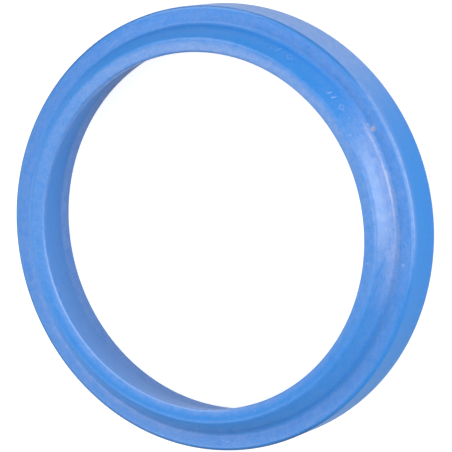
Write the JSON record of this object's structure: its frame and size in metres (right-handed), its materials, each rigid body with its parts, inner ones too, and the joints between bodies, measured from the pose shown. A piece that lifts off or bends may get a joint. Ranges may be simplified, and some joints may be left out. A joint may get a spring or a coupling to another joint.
{
  "type": "wiper seal",
  "caption": "Moulded ring that wipes a sliding rod: flat back, straight outer wall, front shelf and a raised lip with a flared bore behind it.",
  "frame": {"origin": "centre of the ring on its flat back face", "axes": "+Z along the rod's axis, from the back face towards the wiping lip; the ring is round, so X and Y are free"},
  "size_m": [0.062, 0.062, 0.01],
  "materials": {
    "polyurethane": "satin moulded blue polyurethane, slightly translucent"
  },
  "bodies": {
    "root": {"wiper_ring": "polyurethane"}
  },
  "joints": []
}
